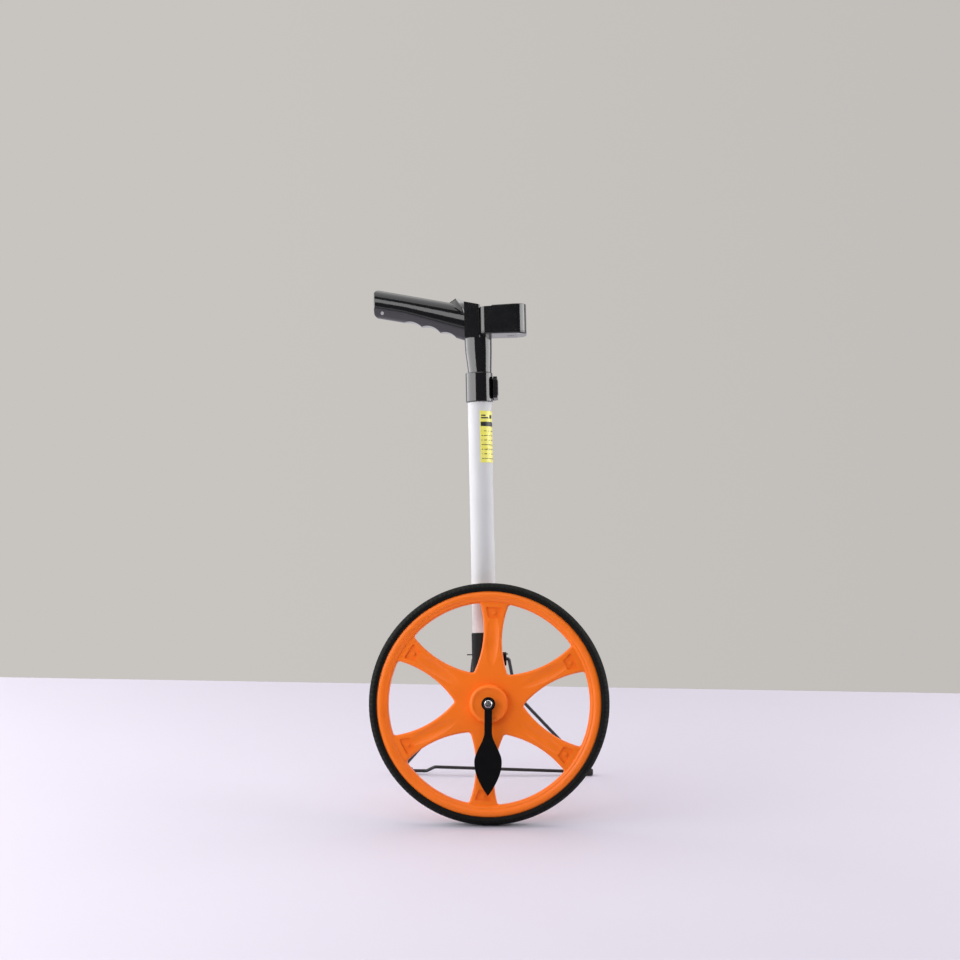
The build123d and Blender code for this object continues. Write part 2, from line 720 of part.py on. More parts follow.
def handle_hollow():
    """The space inside the two halves, less the posts for the screws and the wrist cord's tube."""
    grip = make_face(Polyline((-123, 710), (-10, 686), (-10, 668), (-123, 691), (-123, 710)))
    space = side_plate(grip, GRIP_HALF - 6)
    space += block(TUBE_X - 14, TUBE_X, TUBE_Y - 15, TUBE_Y + 15, INNER_TOP + 5, 689)
    for x, z in SCREW_SPOTS:
        space -= cyl_y(4.0, TUBE_Y - 20, TUBE_Y + 20, TUBE_X + x, z)
    space -= cyl_y(CORD_R + 2.5, TUBE_Y - 20, TUBE_Y + 20, TUBE_X + CORD_X, CORD_Z)
    return space


def handle_halves():
    body = handle_body() - handle_hollow()
    body -= cyl_z(INNER_R, NECK_BOTTOM - 1, INNER_TOP)
    body -= cyl_y(CORD_R, TUBE_Y - 30, TUBE_Y + 30, TUBE_X + CORD_X, CORD_Z)
    for x, z in SCREW_SPOTS:
        body -= cyl_y(3.0, TUBE_Y + 10, TUBE_Y + 30, TUBE_X + x, z)
    body -= handle_screws()
    front = body & block(-300, 100, TUBE_Y - 40, TUBE_Y, 550, 800)
    back = body & block(-300, 100, TUBE_Y, TUBE_Y + 40, 550, 800)
    return front, back


# ---------------------------------------------------------------- display housing

def face_frame():
    """The tilted top of the housing: X up the slope, Z out of the face."""
    return Pos(TUBE_X + BLOCK_RIGHT, TUBE_Y, BOX_HIGH) * Rot(0, -FACE_TILT, 0)


def box_shape(inset):
    """The housing's full outer shape, or the same shape drawn in by a wall's thickness."""
    left = BLOCK_RIGHT + inset
    right = BOX_END - inset
    low = BOX_LOW + inset
    slope = tan(radians(FACE_TILT))
    high = BOX_HIGH - inset
    ledge = high + (LEDGE_X - BLOCK_RIGHT) * slope
    outline = make_face(Polyline(
        (left, low),
        (right, low),
        (right, high + (right - BLOCK_RIGHT) * slope),
        (LEDGE_X, ledge),
        (LEDGE_X - 1, ledge - LEDGE_DROP),
        (left, high - LEDGE_DROP),
        (left, low),
    ))
    solid = side_plate(outline, BOX_HALF - inset)
    uprights = solid.edges().filter_by(Axis.Z).group_by(Axis.X)
    solid = fillet(uprights[-1], BOX_ROUND - inset)
    uprights = solid.edges().filter_by(Axis.Z).group_by(Axis.X)
    return fillet(uprights[0], BOX_NEAR_ROUND - inset)


def under_face(depth):
    """Everything more than this far under the tilted face."""
    return face_frame() * Pos(30, 0, -40 - depth) * Box(160, 100, 80)


def above_seam():
    return block(-50, 100, TUBE_Y - 50, TUBE_Y + 50, BOX_SEAM, BOX_SEAM + 80)


def display_housing():
    """The deep upper shell, with the window's seat, three holes for the keys and four screw posts."""
    shell = box_shape(0)
    top = shell.faces().sort_by(Axis.Z)[-1]
    shell = try_fillet(shell, top.edges(), (2.0, 1.0))
    shell -= box_shape(SHELL) & under_face(TOP_THICK)
    for x, y in corner_posts():
        shell += cyl_z(3.2, BOX_SEAM, POST_TOP, TUBE_X + x, TUBE_Y + y)
    shell = shell & above_seam()
    window = face_frame() * Pos(LENS_X - BLOCK_RIGHT, 0, 0)
    shell -= window * Box(LENS_SIZE[0], LENS_SIZE[1], 3.0)
    shell -= window * Box(LENS_SIZE[0] - 4, LENS_SIZE[1] - 4, 2 * TOP_THICK + 2)
    for y in button_rows():
        key_place = face_frame() * Pos(BUTTON_X - BLOCK_RIGHT, y, 0)
        shell -= key_place * Cylinder(BUTTON_R + 0.3, 2 * TOP_THICK + 2)
    return shell - housing_screws()


def button_rows():
    return [BUTTON_PITCH, 0.0, -BUTTON_PITCH]


def button(y):
    cap = Cylinder(BUTTON_R, 5.6)
    cap = fillet(cap.edges().filter_by(GeomType.CIRCLE).sort_by(Axis.Z)[-1], 0.8)
    return face_frame() * Pos(BUTTON_X - BLOCK_RIGHT, y, 1.3 - 2.8) * cap


def display_lens():
    return face_frame() * Pos(LENS_X - BLOCK_RIGHT, 0, -0.85) * Box(LENS_SIZE[0], LENS_SIZE[1], 1.3)


def lcd_panel():
    return face_frame() * Pos(LENS_X - BLOCK_RIGHT, 0, -TOP_THICK - 1.0) * Box(24, 39, 2.0)


def circuit_board():
    board = face_frame() * Pos(28, 0, -TOP_THICK - 2.8) * Box(38, 44, 1.6)
    board += face_frame() * Pos(49, 0, -TOP_THICK - 2.8) * Box(10, 30, 1.6)
    for y in button_rows():
        board += face_frame() * Pos(BUTTON_X - BLOCK_RIGHT, y, -TOP_THICK - 1.45) * Box(5, 5, 1.1)
    return board


def display_base():
    """The shallow tray that closes the housing from below, with the opening for the battery cover."""
    tray = box_shape(0)
    bottom = tray.faces().sort_by(Axis.Z)[0]
    edges = [e for e in bottom.edges() if e.center().X > TUBE_X + BLOCK_RIGHT + 1]
    tray = try_fillet(tray, edges, (2.0, 1.0))
    tray = tray - above_seam() - box_shape(SHELL)
    for x, y in corner_posts():
        tray += cyl_z(3.2, BOX_LOW + 1, BOX_SEAM, TUBE_X + x, TUBE_Y + y)
        tray -= cyl_z(3.0, BOX_LOW - 1, BOX_LOW + 2.0, TUBE_X + x, TUBE_Y + y)
    tray -= housing_screws()
    return tray - battery_door(0.2)


def corner_posts():
    return [(15.5, -20.6), (15.5, 20.6), (55.4, -18.0), (55.4, 18.0)]


def housing_screws():
    """Four screws from below that hold the base to the housing."""
    screws = []
    for x, y in corner_posts():
        head = cyl_z(2.8, BOX_LOW, BOX_LOW + 2.0, TUBE_X + x, TUBE_Y + y)
        shank = cyl_z(1.4, BOX_LOW + 2.0, BOX_SEAM + 10, TUBE_X + x, TUBE_Y + y)
        screws.append(head + shank)
    return Compound(screws)


def battery_door(gap):
    """The cover in the housing's underside, or the opening for it with a gap all round."""
    x0 = TUBE_X + 19 - gap
    x1 = TUBE_X + 51 + gap
    half = 15 + gap
    return block(x0, x1, TUBE_Y - half, TUBE_Y + half, BOX_LOW - gap, BOX_LOW + SHELL + gap)


def battery_cover():
    door = battery_door(0)
    for k in range(4):
        groove_x = TUBE_X + 40 + k * 2.4
        door -= block(groove_x, groove_x + 1.0, TUBE_Y - 7, TUBE_Y + 7, BOX_LOW - 1, BOX_LOW + 0.6)
    return door


def batteries():
    """Two small cells side by side along the housing."""
    cells = []
    for y in (-5.6, 5.6):
        cell = cyl_x(5.25, TUBE_X + 13.5, TUBE_X + 57, TUBE_Y + y, BOX_LOW + SHELL + 5.6)
        cell += cyl_x(2.0, TUBE_X + 57, TUBE_X + 58, TUBE_Y + y, BOX_LOW + SHELL + 5.6)
        cells.append(cell)
    return Compound(cells)


def battery_contacts():
    z = BOX_LOW + SHELL
    near = block(TUBE_X + 12.9, TUBE_X + 13.4, TUBE_Y - 10, TUBE_Y + 10, z, z + 10)
    far = block(TUBE_X + 58.1, TUBE_X + 58.6, TUBE_Y - 10, TUBE_Y + 10, z, z + 10)
    return Compound([near, far])


# ---------------------------------------------------------------- the assembly

def wheel_nodes():
    return {
        "tyre": tyre(),
        "wheel_body": wheel_body(),
        "hub_cap": hub_cap(),
        "bearing_outer_rings": at_bearings(outer_race),
        "bearing_inner_rings": at_bearings(inner_race),
        "bearing_balls": at_bearings(ball_set),
        "bearing_cages": at_bearings(ball_cage),
        "bearing_seals": at_bearings(seal_pair),
        "magnet_ring": magnet_ring(),
        "axle": axle(),
        "axle_spacers": axle_spacers(),
        "axle_washer": axle_washer(),
        "axle_nut": axle_nut(),
        "pointer": pointer(),
        "pointer_clip": pointer_clip(),
        "bracket": bracket(),
        "sensor_case": sensor_case(),
        "sensor_board": sensor_board(),
        "stand_wire": stand_wire(),
        "stand_feet": stand_feet(),
    }


def tube_nodes():
    front, back = handle_halves()
    nodes = {
        "bracket_screws": bracket_screws(),
        "cross_pin": cross_pin(),
        "outer_tube": outer_tube(),
        "tube_label": tube_label(),
        "guide_bush": guide_bush(),
        "collar": collar(),
        "clamp_bolt": clamp_bolt(),
        "clamp_nut": clamp_nut(),
        "lever_pin": lever_pin(),
        "clamp_lever": clamp_lever(),
        "inner_tube": inner_tube(),
        "tube_plug": tube_plug(),
        "handle_shell_front": front,
        "handle_shell_back": back,
        "handle_screws": handle_screws(),
        "display_housing": display_housing(),
        "display_base": display_base(),
        "display_lens": display_lens(),
        "lcd_panel": lcd_panel(),
        "circuit_board": circuit_board(),
        "housing_screws": housing_screws(),
        "battery_cover": battery_cover(),
        "batteries": batteries(),
        "battery_contacts": battery_contacts(),
    }
    for name, y in zip(("power_button", "unit_button", "reset_button"), button_rows()):
        nodes[name] = button(y)
    return nodes


def main():
    os.makedirs("parts", exist_ok=True)
    nodes = wheel_nodes()
    for name, shape in tube_nodes().items():
        nodes[name] = raked(shape)
    for name, shape in nodes.items():
        export_step(tipped(shape), f"parts/{name}.step")


main()
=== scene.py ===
import json
import math

import bpy
from mathutils import Matrix, Vector


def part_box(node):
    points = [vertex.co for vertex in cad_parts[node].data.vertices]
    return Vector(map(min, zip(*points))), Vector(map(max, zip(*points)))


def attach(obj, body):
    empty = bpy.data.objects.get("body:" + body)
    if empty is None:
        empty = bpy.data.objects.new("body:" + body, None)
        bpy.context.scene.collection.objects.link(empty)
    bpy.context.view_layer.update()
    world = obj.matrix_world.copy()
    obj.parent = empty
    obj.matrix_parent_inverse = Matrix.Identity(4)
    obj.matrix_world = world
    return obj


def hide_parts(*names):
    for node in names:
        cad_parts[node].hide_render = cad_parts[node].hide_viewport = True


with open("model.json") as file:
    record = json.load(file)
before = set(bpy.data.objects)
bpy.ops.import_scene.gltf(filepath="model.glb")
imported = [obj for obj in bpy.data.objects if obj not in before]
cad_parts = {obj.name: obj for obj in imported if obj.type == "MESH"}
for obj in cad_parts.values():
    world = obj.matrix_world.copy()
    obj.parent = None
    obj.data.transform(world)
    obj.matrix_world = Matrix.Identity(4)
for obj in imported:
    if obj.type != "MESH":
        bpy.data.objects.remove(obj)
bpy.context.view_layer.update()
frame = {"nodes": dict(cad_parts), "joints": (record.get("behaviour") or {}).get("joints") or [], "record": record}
joints = {joint["name"]: joint for joint in frame["joints"]}

# ------------------------------------------------------------------ places and sizes, in metres

WHEEL_R = 1 / (2 * math.pi)
MM = 0.001
AXLE = Vector(joints["wheel_spin"]["axis"]).normalized()
HUB = Vector(joints["wheel_spin"]["pos_m"])
TUBE = Vector(joints["handle_extend"]["axis"]).normalized()
TUBE_MID_HEIGHT = 388 * MM
TUBE_R = 16 * MM


def frame_matrix(origin, y_axis, z_axis):
    """A place whose Y and Z run along the given directions."""
    x_axis = y_axis.cross(z_axis).normalized()
    turned = Matrix((x_axis, y_axis, z_axis)).transposed().to_4x4()
    return Matrix.Translation(origin) @ turned


def middle(node):
    low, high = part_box(node)
    return (low + high) / 2


# Upright wheel: X across, Y along the axle, Z up the wheel, from the hub's centre
WHEEL = frame_matrix(HUB, AXLE, Vector((1, 0, 0)).cross(AXLE))
# Tube: Z up the tube, counted from the ground, from the tube's axis
TUBE_FRAME = (
    frame_matrix(middle("outer_tube"), AXLE, TUBE)
    @ Matrix.Translation((0, 0, -TUBE_MID_HEIGHT))
)

# Top face of the display, as the frame has it: X up the slope, Z out of the face
FACE_TILT = math.radians(2.2)
FACE_LEFT = 9 * MM
FACE_HEIGHT = 693 * MM
FACE = (
    TUBE_FRAME
    @ Matrix.Translation((FACE_LEFT, 0, FACE_HEIGHT))
    @ Matrix.Rotation(-FACE_TILT, 4, "Y")
)


# ------------------------------------------------------------------ materials

SPECKLE_FINENESS = 0.4
SPECKLE_MOST = 0.35
SPECKLE_DARKENING = 0.8
GLOSS_FINENESS = 4
# Scale of the noise that breaks up the lighter edges: rubbed wear and painted edge highlight.
RUB_AND_SHEEN_BREAKUP_SCALE = 260.0
COAT_ROUGHNESS = 0.08


def node_of(tree, kind, **settings):
    node = tree.nodes.new(kind)
    for key, value in settings.items():
        setattr(node, key, value)
    return node


def noise_of(tree, vector, scale, detail=3.0, roughness=0.55):
    noise = node_of(tree, "ShaderNodeTexNoise")
    noise.inputs["Scale"].default_value = scale
    noise.inputs["Detail"].default_value = detail
    noise.inputs["Roughness"].default_value = roughness
    tree.links.new(vector, noise.inputs["Vector"])
    return noise.outputs["Fac"]


def ranged(tree, value, low, high, from_low=0.3, from_high=0.7):
    span = node_of(tree, "ShaderNodeMapRange")
    span.inputs["From Min"].default_value = from_low
    span.inputs["From Max"].default_value = from_high
    span.inputs["To Min"].default_value = low
    span.inputs["To Max"].default_value = high
    tree.links.new(value, span.inputs["Value"])
    return span.outputs["Result"]


def mixed(tree, factor, first, second, blend="MIX"):
    """Mixes two colours, each a value or a socket."""
    mix = node_of(tree, "ShaderNodeMix", data_type="RGBA", blend_type=blend)
    sockets = [s for s in mix.inputs if s.type == "RGBA"]
    for socket, colour in zip(sockets, (first, second)):
        if isinstance(colour, bpy.types.NodeSocket):
            tree.links.new(colour, socket)
        else:
            socket.default_value = (*colour[:3], 1)
    if isinstance(factor, bpy.types.NodeSocket):
        tree.links.new(factor, mix.inputs[0])
    else:
        mix.inputs[0].default_value = factor
    return [s for s in mix.outputs if s.type == "RGBA"][0]


def scaled(colour, factor):
    return tuple(min(1.0, c * factor) for c in colour)


def bumped(tree, height, distance, strength=1.0, normal=None):
    bump = node_of(tree, "ShaderNodeBump")
    bump.inputs["Distance"].default_value = distance
    bump.inputs["Strength"].default_value = strength
    tree.links.new(height, bump.inputs["Height"])
    if normal is not None:
        tree.links.new(normal, bump.inputs["Normal"])
    return bump.outputs["Normal"]


def local_coords(tree, place, stretch=(1, 1, 1)):
    """The surface's place in one of the object's own frames, stretched along its axes."""
    coord = node_of(tree, "ShaderNodeTexCoord")
    origin, turn, _ = place.inverted().decompose()
    mapping = node_of(tree, "ShaderNodeMapping")
    mapping.inputs["Location"].default_value = origin
    mapping.inputs["Rotation"].default_value = turn.to_euler()
    tree.links.new(coord.outputs["Object"], mapping.inputs["Vector"])
    squeeze = node_of(tree, "ShaderNodeMapping")
    squeeze.inputs["Scale"].default_value = stretch
    tree.links.new(mapping.outputs["Vector"], squeeze.inputs["Vector"])
    return squeeze.outputs["Vector"]


def rub_and_sheen_edges(tree, reach=0.0012):
    """1 along outward edges, 0 on open faces: where rubbed wear and a painted edge highlight go."""
    edge_rub_and_sheen = node_of(tree, "ShaderNodeAmbientOcclusion", inside=True, samples=6, only_local=True)
    edge_rub_and_sheen.inputs["Distance"].default_value = reach
    return ranged(tree, edge_rub_and_sheen.outputs["AO"], 1.0, 0.0, 0.45, 0.85)


def material(
    name, colour, roughness, metallic=0.0, mottle=0.10, mottle_scale=35.0, spread=0.07,
    grain=0.00006, grain_scale=1400.0, edge_rub_and_sheen=None, rub_and_sheen_amount=0.5, coat=0.0,
    place=None, stretch=(1, 1, 1), specular=0.5, ior=1.5,
):
    """A moulded, coated or machined surface: uneven colour and gloss, fine grain, and outward edges lightened as
    rubbed wear and painted edge highlight.
    """
    made = bpy.data.materials.new(name)
    made.use_nodes = True
    made.diffuse_color = (*colour[:3], 1)
    tree = made.node_tree
    shader = tree.nodes["Principled BSDF"]
    vector = local_coords(tree, place or Matrix.Identity(4), stretch)
    patches = ranged(tree, noise_of(tree, vector, mottle_scale), 0.0, 1.0)
    base = mixed(tree, patches, scaled(colour, 1 - mottle), scaled(colour, 1 + mottle))
    specks = noise_of(tree, vector, grain_scale * SPECKLE_FINENESS, 2.0)
    speckle = ranged(tree, specks, 0.0, SPECKLE_MOST)
    base = mixed(tree, speckle, base, scaled(colour, 1 - SPECKLE_DARKENING * mottle))
    uneven = noise_of(tree, vector, mottle_scale * GLOSS_FINENESS, 4.0)
    gloss = ranged(tree, uneven, roughness - spread, roughness + spread)
    # Lightens outward edges towards the edge colour: rubbed wear plus a painted edge highlight.
    if edge_rub_and_sheen is not None:
        rub_and_sheen_mask = rub_and_sheen_edges(tree)
        uneven_rub_and_sheen = noise_of(tree, vector, RUB_AND_SHEEN_BREAKUP_SCALE, 4.0)
        breakup = ranged(tree, uneven_rub_and_sheen, 0.0, rub_and_sheen_amount, 0.35, 0.65)
        amount = node_of(tree, "ShaderNodeMath", operation="MULTIPLY")
        tree.links.new(rub_and_sheen_mask, amount.inputs[0])
        tree.links.new(breakup, amount.inputs[1])
        base = mixed(tree, amount.outputs[0], base, edge_rub_and_sheen)
    tree.links.new(base, shader.inputs["Base Color"])
    tree.links.new(gloss, shader.inputs["Roughness"])
    shader.inputs["Metallic"].default_value = metallic
    shader.inputs["Specular IOR Level"].default_value = specular
    shader.inputs["IOR"].default_value = ior
    shader.inputs["Coat Weight"].default_value = coat
    shader.inputs["Coat Roughness"].default_value = COAT_ROUGHNESS
    fine = noise_of(tree, vector, grain_scale, 2.0)
    normal = bumped(tree, fine, grain)
    tree.links.new(normal, shader.inputs["Normal"])
    return made


def scratched(made, place, stretch, scale, depth):
    """Adds long fine lines along one direction of a place to a material's relief."""
    tree = made.node_tree
    shader = tree.nodes["Principled BSDF"]
    lines = noise_of(tree, local_coords(tree, place, stretch), scale, 3.0, 0.7)
    old = shader.inputs["Normal"].links[0].from_socket
    tree.links.new(bumped(tree, lines, depth, 1.0, old), shader.inputs["Normal"])
    return made


ORANGE = (0.96, 0.185, 0.007)
BLACK = (0.0075, 0.0078, 0.0085)
STEEL = (0.60, 0.60, 0.61)

# Each edge colour is the lighter tone along outward edges: rubbed wear plus a painted edge highlight.
MATERIALS = {
    "tyre": material(
        "tyre_rubber", (0.006, 0.0062, 0.0054), 0.72, specular=0.12, mottle=0.25, mottle_scale=28,
        spread=0.10, grain=0.00012, grain_scale=1100, edge_rub_and_sheen=(0.035, 0.034, 0.031), rub_and_sheen_amount=0.5,
    ),
    "wheel_orange": material(
        "orange_plastic", ORANGE, 0.40, mottle=0.055, mottle_scale=22, spread=0.06, specular=0.35,
        grain=0.00005, grain_scale=1700, edge_rub_and_sheen=(0.95, 0.30, 0.07), rub_and_sheen_amount=0.30,
    ),
    "bearing_steel": material("ground_steel", STEEL, 0.22, metallic=1, mottle=0.06, grain=0.00001),
    "seal_rubber": material("seal_rubber", (0.02, 0.02, 0.02), 0.55),
    "magnet": material("ferrite", (0.045, 0.045, 0.05), 0.58, grain=0.00010),
    "axle_steel": material(
        "plated_steel", (0.74, 0.75, 0.77), 0.24, metallic=1, mottle=0.05, mottle_scale=120,
        grain=0.00002, grain_scale=2600, edge_rub_and_sheen=(0.88, 0.88, 0.88), rub_and_sheen_amount=0.6,
    ),
    "pointer_black": material(
        "pointer_plastic", (0.0035, 0.0035, 0.004), 0.45, mottle=0.12, spread=0.06, specular=0.08,
        grain=0.00003, edge_rub_and_sheen=(0.05, 0.05, 0.052), rub_and_sheen_amount=0.4,
    ),
    "spring_steel": material("blackened_steel", (0.035, 0.034, 0.033), 0.38, metallic=0.8),
    "bracket_black": material(
        "bracket_nylon", (0.007, 0.007, 0.0075), 0.50, mottle=0.15, grain=0.00014, grain_scale=900,
        specular=0.15, edge_rub_and_sheen=(0.07, 0.07, 0.07), rub_and_sheen_amount=0.5,
    ),
    "screw_steel": material(
        "zinc_plate", (0.56, 0.56, 0.54), 0.33, metallic=1, mottle=0.12, mottle_scale=300,
        edge_rub_and_sheen=(0.75, 0.75, 0.74), rub_and_sheen_amount=0.5,
    ),
    "circuit_green": material("solder_mask", (0.015, 0.13, 0.045), 0.35, coat=0.3),
    "wire_black": material(
        "wire_coat", (0.013, 0.013, 0.014), 0.36, mottle=0.2, mottle_scale=90, grain=0.00008,
        edge_rub_and_sheen=(0.05, 0.05, 0.05), rub_and_sheen_amount=0.3,
    ),
    "foot_rubber": material(
        "foot_rubber", (0.016, 0.016, 0.016), 0.66, mottle=0.2, grain=0.00015, grain_scale=900,
        edge_rub_and_sheen=(0.07, 0.068, 0.065), rub_and_sheen_amount=0.6,
    ),
    "nylon": material("natural_nylon", (0.70, 0.69, 0.63), 0.42),
    "gloss_black": material(
        "gloss_abs", BLACK, 0.10, mottle=0.15, mottle_scale=18, spread=0.03, grain=0.00001,
        grain_scale=420, edge_rub_and_sheen=(0.06, 0.06, 0.062), rub_and_sheen_amount=0.30, coat=0.45, ior=1.6,
    ),
    "lever_black": material(
        "lever_nylon", (0.006, 0.006, 0.0065), 0.26, mottle=0.15, spread=0.06, grain=0.00003,
        edge_rub_and_sheen=(0.05, 0.05, 0.05), rub_and_sheen_amount=0.4, specular=0.3,
    ),
    "base_black": material(
        "base_abs", (0.008, 0.008, 0.009), 0.10, mottle=0.12, spread=0.02, grain=0.000003,
        grain_scale=1500, ior=1.6, edge_rub_and_sheen=(0.06, 0.06, 0.062), rub_and_sheen_amount=0.4,
    ),
    "lcd_grey": material("lcd_glass", (0.36, 0.41, 0.33), 0.24, mottle=0.03, grain=0.00001),
    "cell_wrap": material("cell_wrap", (0.16, 0.30, 0.12), 0.3, coat=0.4),
    "contact_plate": material("contact_plate", (0.66, 0.65, 0.60), 0.3, metallic=1),
    "button_red": material(
        "key_red", (0.42, 0.028, 0.018), 0.5, grain=0.00006, edge_rub_and_sheen=(0.6, 0.1, 0.08),
    ),
    "button_grey": material(
        "key_grey", (0.19, 0.19, 0.20), 0.5, grain=0.00006, edge_rub_and_sheen=(0.3, 0.3, 0.3),
    ),
    "label_yellow": material(
        "label_film", (0.86, 0.80, 0.105), 0.34, mottle=0.05, mottle_scale=60, grain=0.00002,
        edge_rub_and_sheen=(0.85, 0.82, 0.45), rub_and_sheen_amount=0.3, coat=0.15,
    ),
    "tube_aluminium": scratched(
        material(
            "anodised_tube", (0.60, 0.603, 0.612), 0.60, mottle=0.035, mottle_scale=60,
            spread=0.05, grain=0.00003, grain_scale=2400, place=TUBE_FRAME, stretch=(1, 1, 0.25),
        ),
        TUBE_FRAME, (1, 1, 0.01), 2600, 0.00002,
    ),
}


def clear_lens():
    made = bpy.data.materials.new("acrylic_window")
    made.use_nodes = True
    tree = made.node_tree
    shader = tree.nodes["Principled BSDF"]
    shader.inputs["Base Color"].default_value = (0.93, 0.95, 0.94, 1)
    shader.inputs["Transmission Weight"].default_value = 1.0
    shader.inputs["IOR"].default_value = 1.49
    vector = local_coords(tree, FACE)
    smear = ranged(tree, noise_of(tree, vector, 90.0, 4.0), 0.02, 0.10)
    tree.links.new(smear, shader.inputs["Roughness"])
    tree.links.new(bumped(tree, noise_of(tree, vector, 60.0, 1.0), 0.00003), shader.inputs["Normal"])
    return made


MATERIALS["lens_clear"] = clear_lens()
INK = material(
    "label_ink", (0.018, 0.018, 0.02), 0.42, mottle=0.2, mottle_scale=220, grain=0.00002,
)
SEGMENT = material("lcd_segment", (0.028, 0.032, 0.03), 0.35, mottle=0.05, grain=0.00001)


def dress_frame():
    """Gives every CAD node the material of its slot."""
    slots = {part["node"]: part["material_slot"] for part in frame["record"]["subparts"]}
    for name, piece in frame["nodes"].items():
        piece.data.materials.clear()
        piece.data.materials.append(MATERIALS[slots[name]])


# ------------------------------------------------------------------ mesh helpers

def piece_from(name, points, faces, place, look):
    mesh = bpy.data.meshes.new(name)
    mesh.from_pydata([place @ Vector(p) for p in points], [], faces)
    mesh.validate()
    piece = bpy.data.objects.new(name, mesh)
    bpy.context.scene.collection.objects.link(piece)
    mesh.materials.append(look)
    for face in mesh.polygons:
        face.use_smooth = True
    return piece


def lathe_rings(rings):
    """Quads between rings of the same number of points, the last joined to the first."""
    count = len(rings[0])
    points = [p for ring in rings for p in ring]
    faces = []
    for i in range(len(rings)):
        j = (i + 1) % len(rings)
        for k in range(count):
            m = (k + 1) % count
            faces.append((i * count + k, j * count + k, j * count + m, i * count + m))
    return points, faces


# ------------------------------------------------------------------ tyre with its cross ribs

TYRE_HALF = 13 * MM
TYRE_THICK = 11 * MM
CROWN_R = 18 * MM
CROWN_STEPS = 18
CHANNEL_STEPS = (6, 12)
CHANNEL_DEPTH = 0.7 * MM
SHOULDER_GAIN = 1.6
LIP_HIGH = 3.6 * MM
LIP_LOW = 3.2 * MM
LIP_STEP = 0.5 * MM
RIBS = 150
RIB_STEPS = 6
RIB_DEPTH = 0.9 * MM
TONGUE_HALF = 4 * MM
TONGUE_DEPTH = 4 * MM


def tyre_section(rib):
    """The tyre's section as (radius, depth) points: rib is 1 in a groove and 0 on a rib's top."""
    rim = WHEEL_R - TYRE_THICK
    section = []
    for i in range(CROWN_STEPS + 1):
        y = -TYRE_HALF + 2 * TYRE_HALF * i / CROWN_STEPS
        crown = WHEEL_R - CROWN_R + math.sqrt(CROWN_R**2 - y**2)
        shoulder = abs(y) / TYRE_HALF
        channel = CHANNEL_DEPTH if i in CHANNEL_STEPS else 0.0
        worn = rib * min(1.0, shoulder * SHOULDER_GAIN) * RIB_DEPTH
        section.append((crown - max(worn, channel), y))
    flank = TYRE_HALF - LIP_STEP
    section += [
        (rim + LIP_HIGH, TYRE_HALF),
        (rim + LIP_LOW, flank),
        (rim + LIP_STEP, flank),
        (rim, flank - LIP_STEP),
        (rim, TONGUE_HALF),
        (rim - TONGUE_DEPTH, TONGUE_HALF),
        (rim - TONGUE_DEPTH, -TONGUE_HALF),
        (rim, -TONGUE_HALF),
        (rim, -flank + LIP_STEP),
        (rim + LIP_STEP, -flank),
        (rim + LIP_LOW, -flank),
        (rim + LIP_HIGH, -TYRE_HALF),
    ]
    return section


def build_tyre():
    rings = []
    for k in range(RIBS * RIB_STEPS):
        turn = 2 * math.pi * k / (RIBS * RIB_STEPS)
        rib = 1.0 if k % RIB_STEPS in (0, 1) else 0.0
        ring = [(r * math.cos(turn), y, r * math.sin(turn)) for r, y in tyre_section(rib)]
        rings.append(ring)
    points, faces = lathe_rings(rings)
    tyre = piece_from("ribbed_tyre", points, faces, WHEEL, MATERIALS["tyre"])
    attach(tyre, "wheel")
    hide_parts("tyre")


# ------------------------------------------------------------------ label print and display digits

PRINT_R = TUBE_R + 0.34 * MM
PRINT_TOP = 549.5 * MM
DEGREE = math.radians(1)
PATCH_STEP = math.radians(5)
# Heading, mark and band: lower and upper edge below the print's top in mm, then degrees round the tube
HEADING = (
    (5.2, 3.4, 8, 30),
    (8.6, 6.6, 8, 46),
    (8.6, 3.4, 54, 74),
    (19, 13, 5, 118),
)
ROWS = 7
ROWS_BELOW = 25
ROW_PITCH = 6.2
STROKE_TALL = 0.9
STROKES = ((8, 14), (20, 38), (46, 56), (62, 92))


def tube_patch(points, faces, low, high, start, stop):
    """A printed rectangle on the tube: heights, and angles from the front towards the lever."""
    steps = max(2, int((stop - start) / PATCH_STEP))
    first = len(points)
    for i in range(steps + 1):
        turn = start + (stop - start) * i / steps
        x = PRINT_R * math.sin(turn)
        y = -PRINT_R * math.cos(turn)
        points += [(x, y, low), (x, y, high)]
    for i in range(steps):
        k = first + 2 * i
        faces.append((k, k + 2, k + 3, k + 1))


def build_label_print():
    """Plain bars where a label has its print: a heading, a dark band and rows of short strokes."""
    points, faces = [], []
    for low_drop, high_drop, start, stop in HEADING:
        low = PRINT_TOP - low_drop * MM
        high = PRINT_TOP - high_drop * MM
        tube_patch(points, faces, low, high, start * DEGREE, stop * DEGREE)
    for row in range(ROWS):
        high = PRINT_TOP - (ROWS_BELOW + row * ROW_PITCH) * MM
        low = high - STROKE_TALL * MM
        ragged = (7 * row) % 11 - 5
        for start, stop in STROKES:
            tube_patch(points, faces, low, high, start * DEGREE, (stop + ragged) * DEGREE)
    ink = piece_from("label_print", points, faces, TUBE_FRAME, INK)
    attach(ink, "frame")


FIGURES = 6
READING_Z = -4.96 * MM
READING_LOW = 31.5 * MM
READING_LEFT = 15.5 * MM
DIGIT_PITCH = 5.3 * MM
DIGIT_TALL = 9 * MM
DIGIT_WIDE = 4.2 * MM
STROKE_WIDE = DIGIT_TALL * 0.13
STROKE_GAP = STROKE_WIDE * 0.14
POINT_AFTER = 4
POINT_OFFSET = 4.75 * MM
POINT_HALF = 0.5 * MM
POINT_HIGH = 32.6 * MM
MARKS = 4
MARK_LEFT = 14 * MM
MARK_PITCH = 9 * MM
MARK_WIDE = 4 * MM
MARK_LOW = 43 * MM
MARK_HIGH = 44.3 * MM


